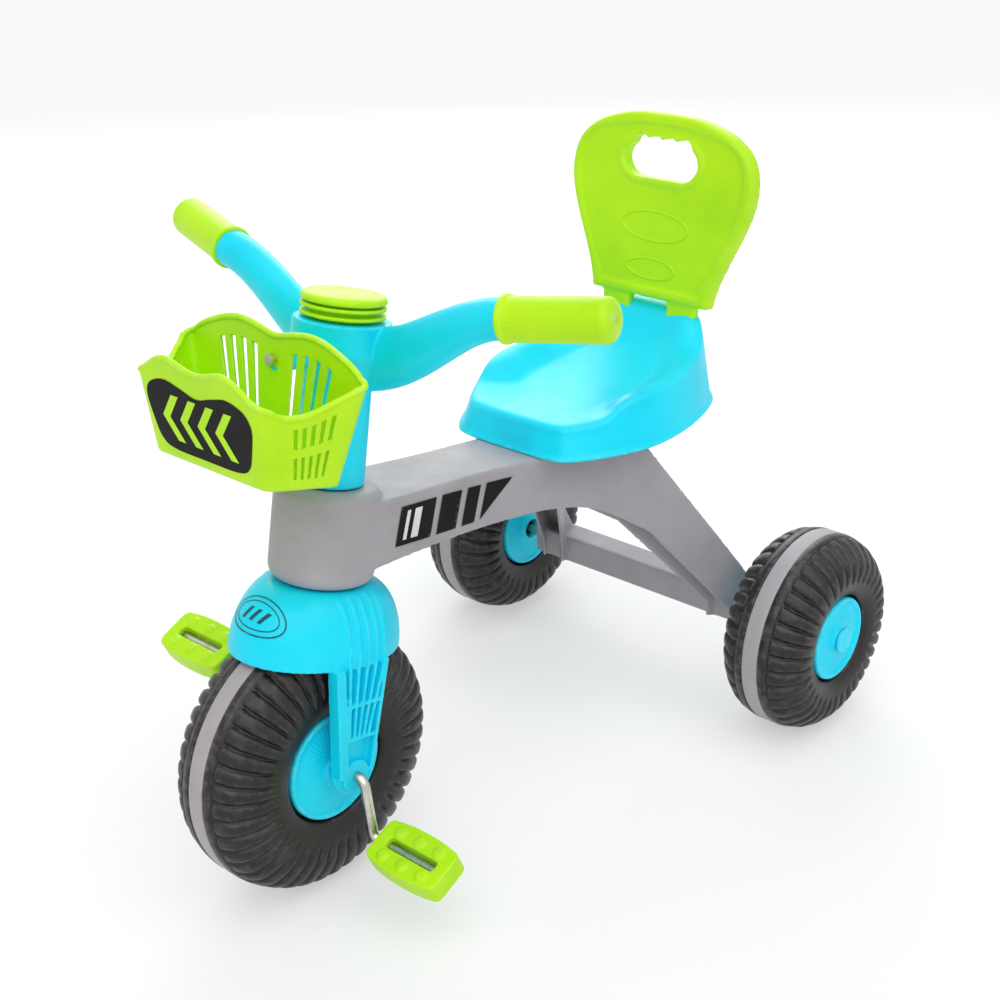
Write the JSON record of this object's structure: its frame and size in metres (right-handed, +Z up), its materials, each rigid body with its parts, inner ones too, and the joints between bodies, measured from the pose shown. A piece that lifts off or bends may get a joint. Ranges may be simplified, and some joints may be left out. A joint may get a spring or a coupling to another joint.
{
  "type": "children's tricycle",
  "caption": "Small moulded plastic pedal tricycle with ribbed hollow wheels, pedals on the front wheel, front basket, squeeze horn, dished seat and backrest.",
  "frame": {"origin": "on the floor, below the middle of the tricycle's box", "axes": "+X forward towards the front wheel, +Y to the rider's left, +Z up"},
  "size_m": [0.642, 0.459, 0.5276],
  "materials": {
    "cyan": "smooth moulded plastic",
    "lime": "smooth moulded plastic",
    "grey": "smooth moulded plastic",
    "tyre": "blow-moulded black plastic with a moulded tread",
    "band": "smooth grey plastic",
    "steel": "zinc-plated steel",
    "reed": "natural plastic"
  },
  "bodies": {
    "frame": {"main_frame": "grey", "seat": "cyan", "backrest": "lime", "seat_screws": "steel", "rear_axle": "steel", "rear_push_nuts": "steel"},
    "steering": {"fork": "cyan", "handlebar": "cyan", "left_grip": "lime", "right_grip": "lime", "basket": "lime", "basket_screw": "steel", "stem_screw": "steel", "horn_bellows": "lime", "horn_squeaker": "reed", "left_crank_bush": "cyan", "right_crank_bush": "cyan"},
    "horn": {"horn_button": "lime"},
    "front_wheel": {"front_tyre": "tyre", "front_band": "band", "front_hub_left": "cyan", "front_hub_right": "cyan", "crank": "steel"},
    "left_pedal": {"left_pedal": "lime"},
    "right_pedal": {"right_pedal": "lime"},
    "rear_left_wheel": {"rear_left_tyre": "tyre", "rear_left_band": "band", "rear_left_hub_left": "cyan", "rear_left_hub_right": "cyan", "rear_left_cap": "cyan"},
    "rear_right_wheel": {"rear_right_tyre": "tyre", "rear_right_band": "band", "rear_right_hub_left": "cyan", "rear_right_hub_right": "cyan", "rear_right_cap": "cyan"}
  },
  "joints": [
    {"name": "steering", "type": "hinge", "parent": "frame", "child": "steering", "pos_m": [0.211, 0, 0.11], "axis": [-0.2079, 0, 0.9781], "range_deg": [-60, 60]},
    {"name": "horn_press", "type": "slide", "parent": "steering", "child": "horn", "axis": [0.2079, 0, -0.9781], "range_m": [0, 0.008], "stiffness_N_per_m": 600, "deforming": ["horn_bellows"]},
    {"name": "front_wheel_spin", "type": "hinge", "parent": "steering", "child": "front_wheel", "pos_m": [0.211, 0, 0.11], "axis": [0, 1, 0], "continuous": true},
    {"name": "left_pedal_spin", "type": "hinge", "parent": "front_wheel", "child": "left_pedal", "pos_m": [0.211, 0.117, 0.059], "axis": [0, 1, 0], "continuous": true},
    {"name": "right_pedal_spin", "type": "hinge", "parent": "front_wheel", "child": "right_pedal", "pos_m": [0.211, -0.117, 0.161], "axis": [0, 1, 0], "continuous": true},
    {"name": "rear_left_spin", "type": "hinge", "parent": "frame", "child": "rear_left_wheel", "pos_m": [-0.23, 0.182, 0.091], "axis": [0, 1, 0], "continuous": true},
    {"name": "rear_right_spin", "type": "hinge", "parent": "frame", "child": "rear_right_wheel", "pos_m": [-0.23, -0.182, 0.091], "axis": [0, 1, 0], "continuous": true}
  ]
}
